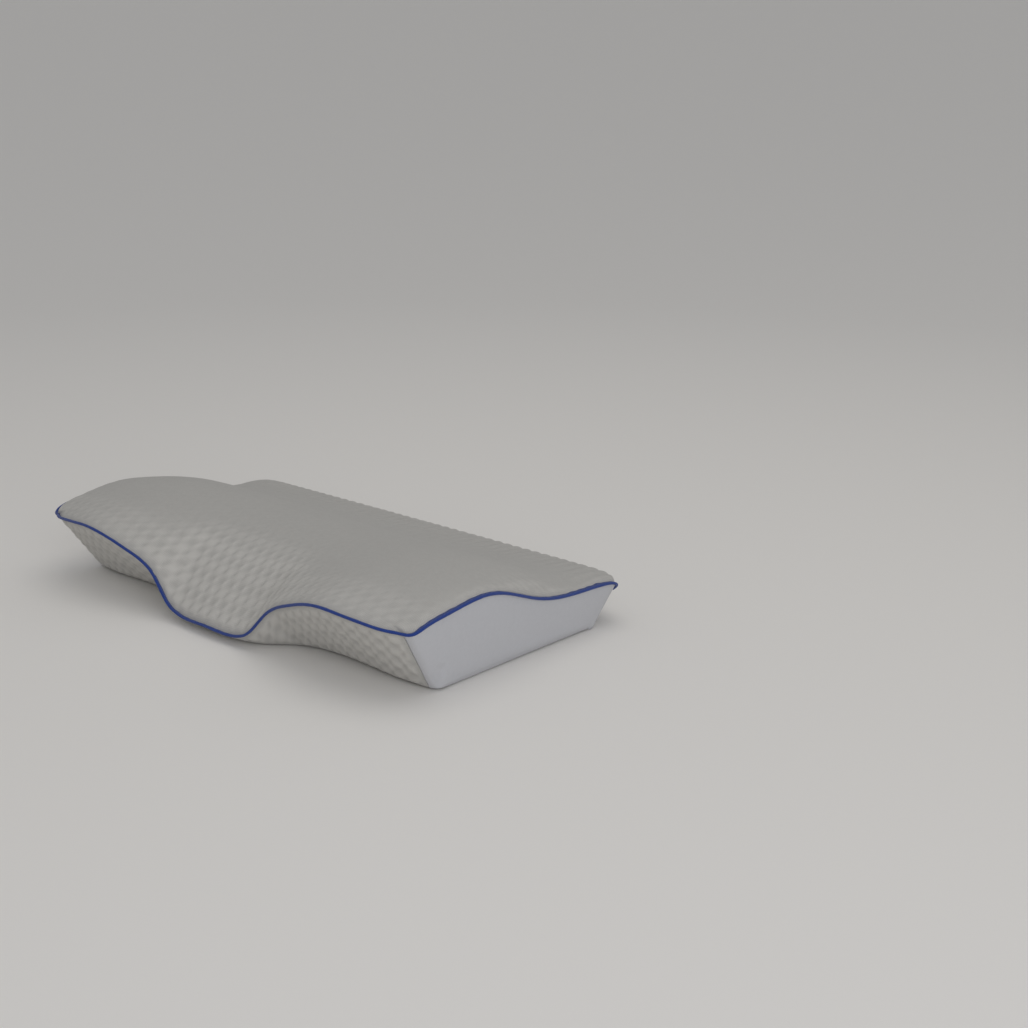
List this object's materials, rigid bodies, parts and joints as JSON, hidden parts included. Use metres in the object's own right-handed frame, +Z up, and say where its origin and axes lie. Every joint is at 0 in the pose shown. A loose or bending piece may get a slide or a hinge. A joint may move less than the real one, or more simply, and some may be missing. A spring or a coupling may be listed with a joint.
{
  "type": "contour bed pillow",
  "caption": "Butterfly-shaped contour pillow: a moulded foam core in a zipped knit cover with piped edges and a sloping front tongue.",
  "frame": {"origin": "middle of the overall box, on the flat underside that the pillow lies on", "axes": "+X along the pillow's length, -Y towards the neck and shoulder side, +Z up"},
  "size_m": [0.5702, 0.3407, 0.0993],
  "materials": {
    "memory_foam": "open-cell polyurethane foam",
    "liner_jersey": "thin jersey",
    "bubble_knit": "bubble knit",
    "smooth_knit": "smooth spacer knit",
    "piping_filler": "twisted cotton",
    "piping_blue": "woven bias tape",
    "zip_tape": "woven polyester tape",
    "zip_coil": "nylon coil",
    "zip_metal": "lacquered zinc",
    "label_satin": "satin"
  },
  "bodies": {
    "root": {"foam_core": "memory_foam", "inner_liner": "liner_jersey", "cover_top_panel": "bubble_knit", "cover_bottom_panel": "bubble_knit", "front_band": "bubble_knit", "end_panel_left": "smooth_knit", "end_panel_right": "smooth_knit", "back_band_upper": "smooth_knit", "back_band_lower": "smooth_knit", "zip_end_patch_left": "smooth_knit", "zip_end_patch_right": "smooth_knit", "piping_cord": "piping_filler", "piping_sleeve": "piping_blue", "zip_tape_upper": "zip_tape", "zip_tape_lower": "zip_tape", "zip_coil_upper": "zip_coil", "zip_coil_lower": "zip_coil", "zip_top_stops": "zip_metal", "zip_bottom_stop": "zip_metal", "care_label": "label_satin"},
    "slider": {"zip_slider": "zip_metal"},
    "pull": {"zip_pull": "zip_metal"}
  },
  "joints": [
    {"name": "zip_slide", "type": "slide", "parent": "root", "child": "slider", "axis": [1, 0, 0], "range_m": [-0.4684, 0]},
    {"name": "pull_hinge", "type": "hinge", "parent": "slider", "child": "pull", "pos_m": [0.2342, 0.14883, 0.01336], "axis": [0, -0.788, -0.6157], "range_deg": [0, 175]}
  ]
}
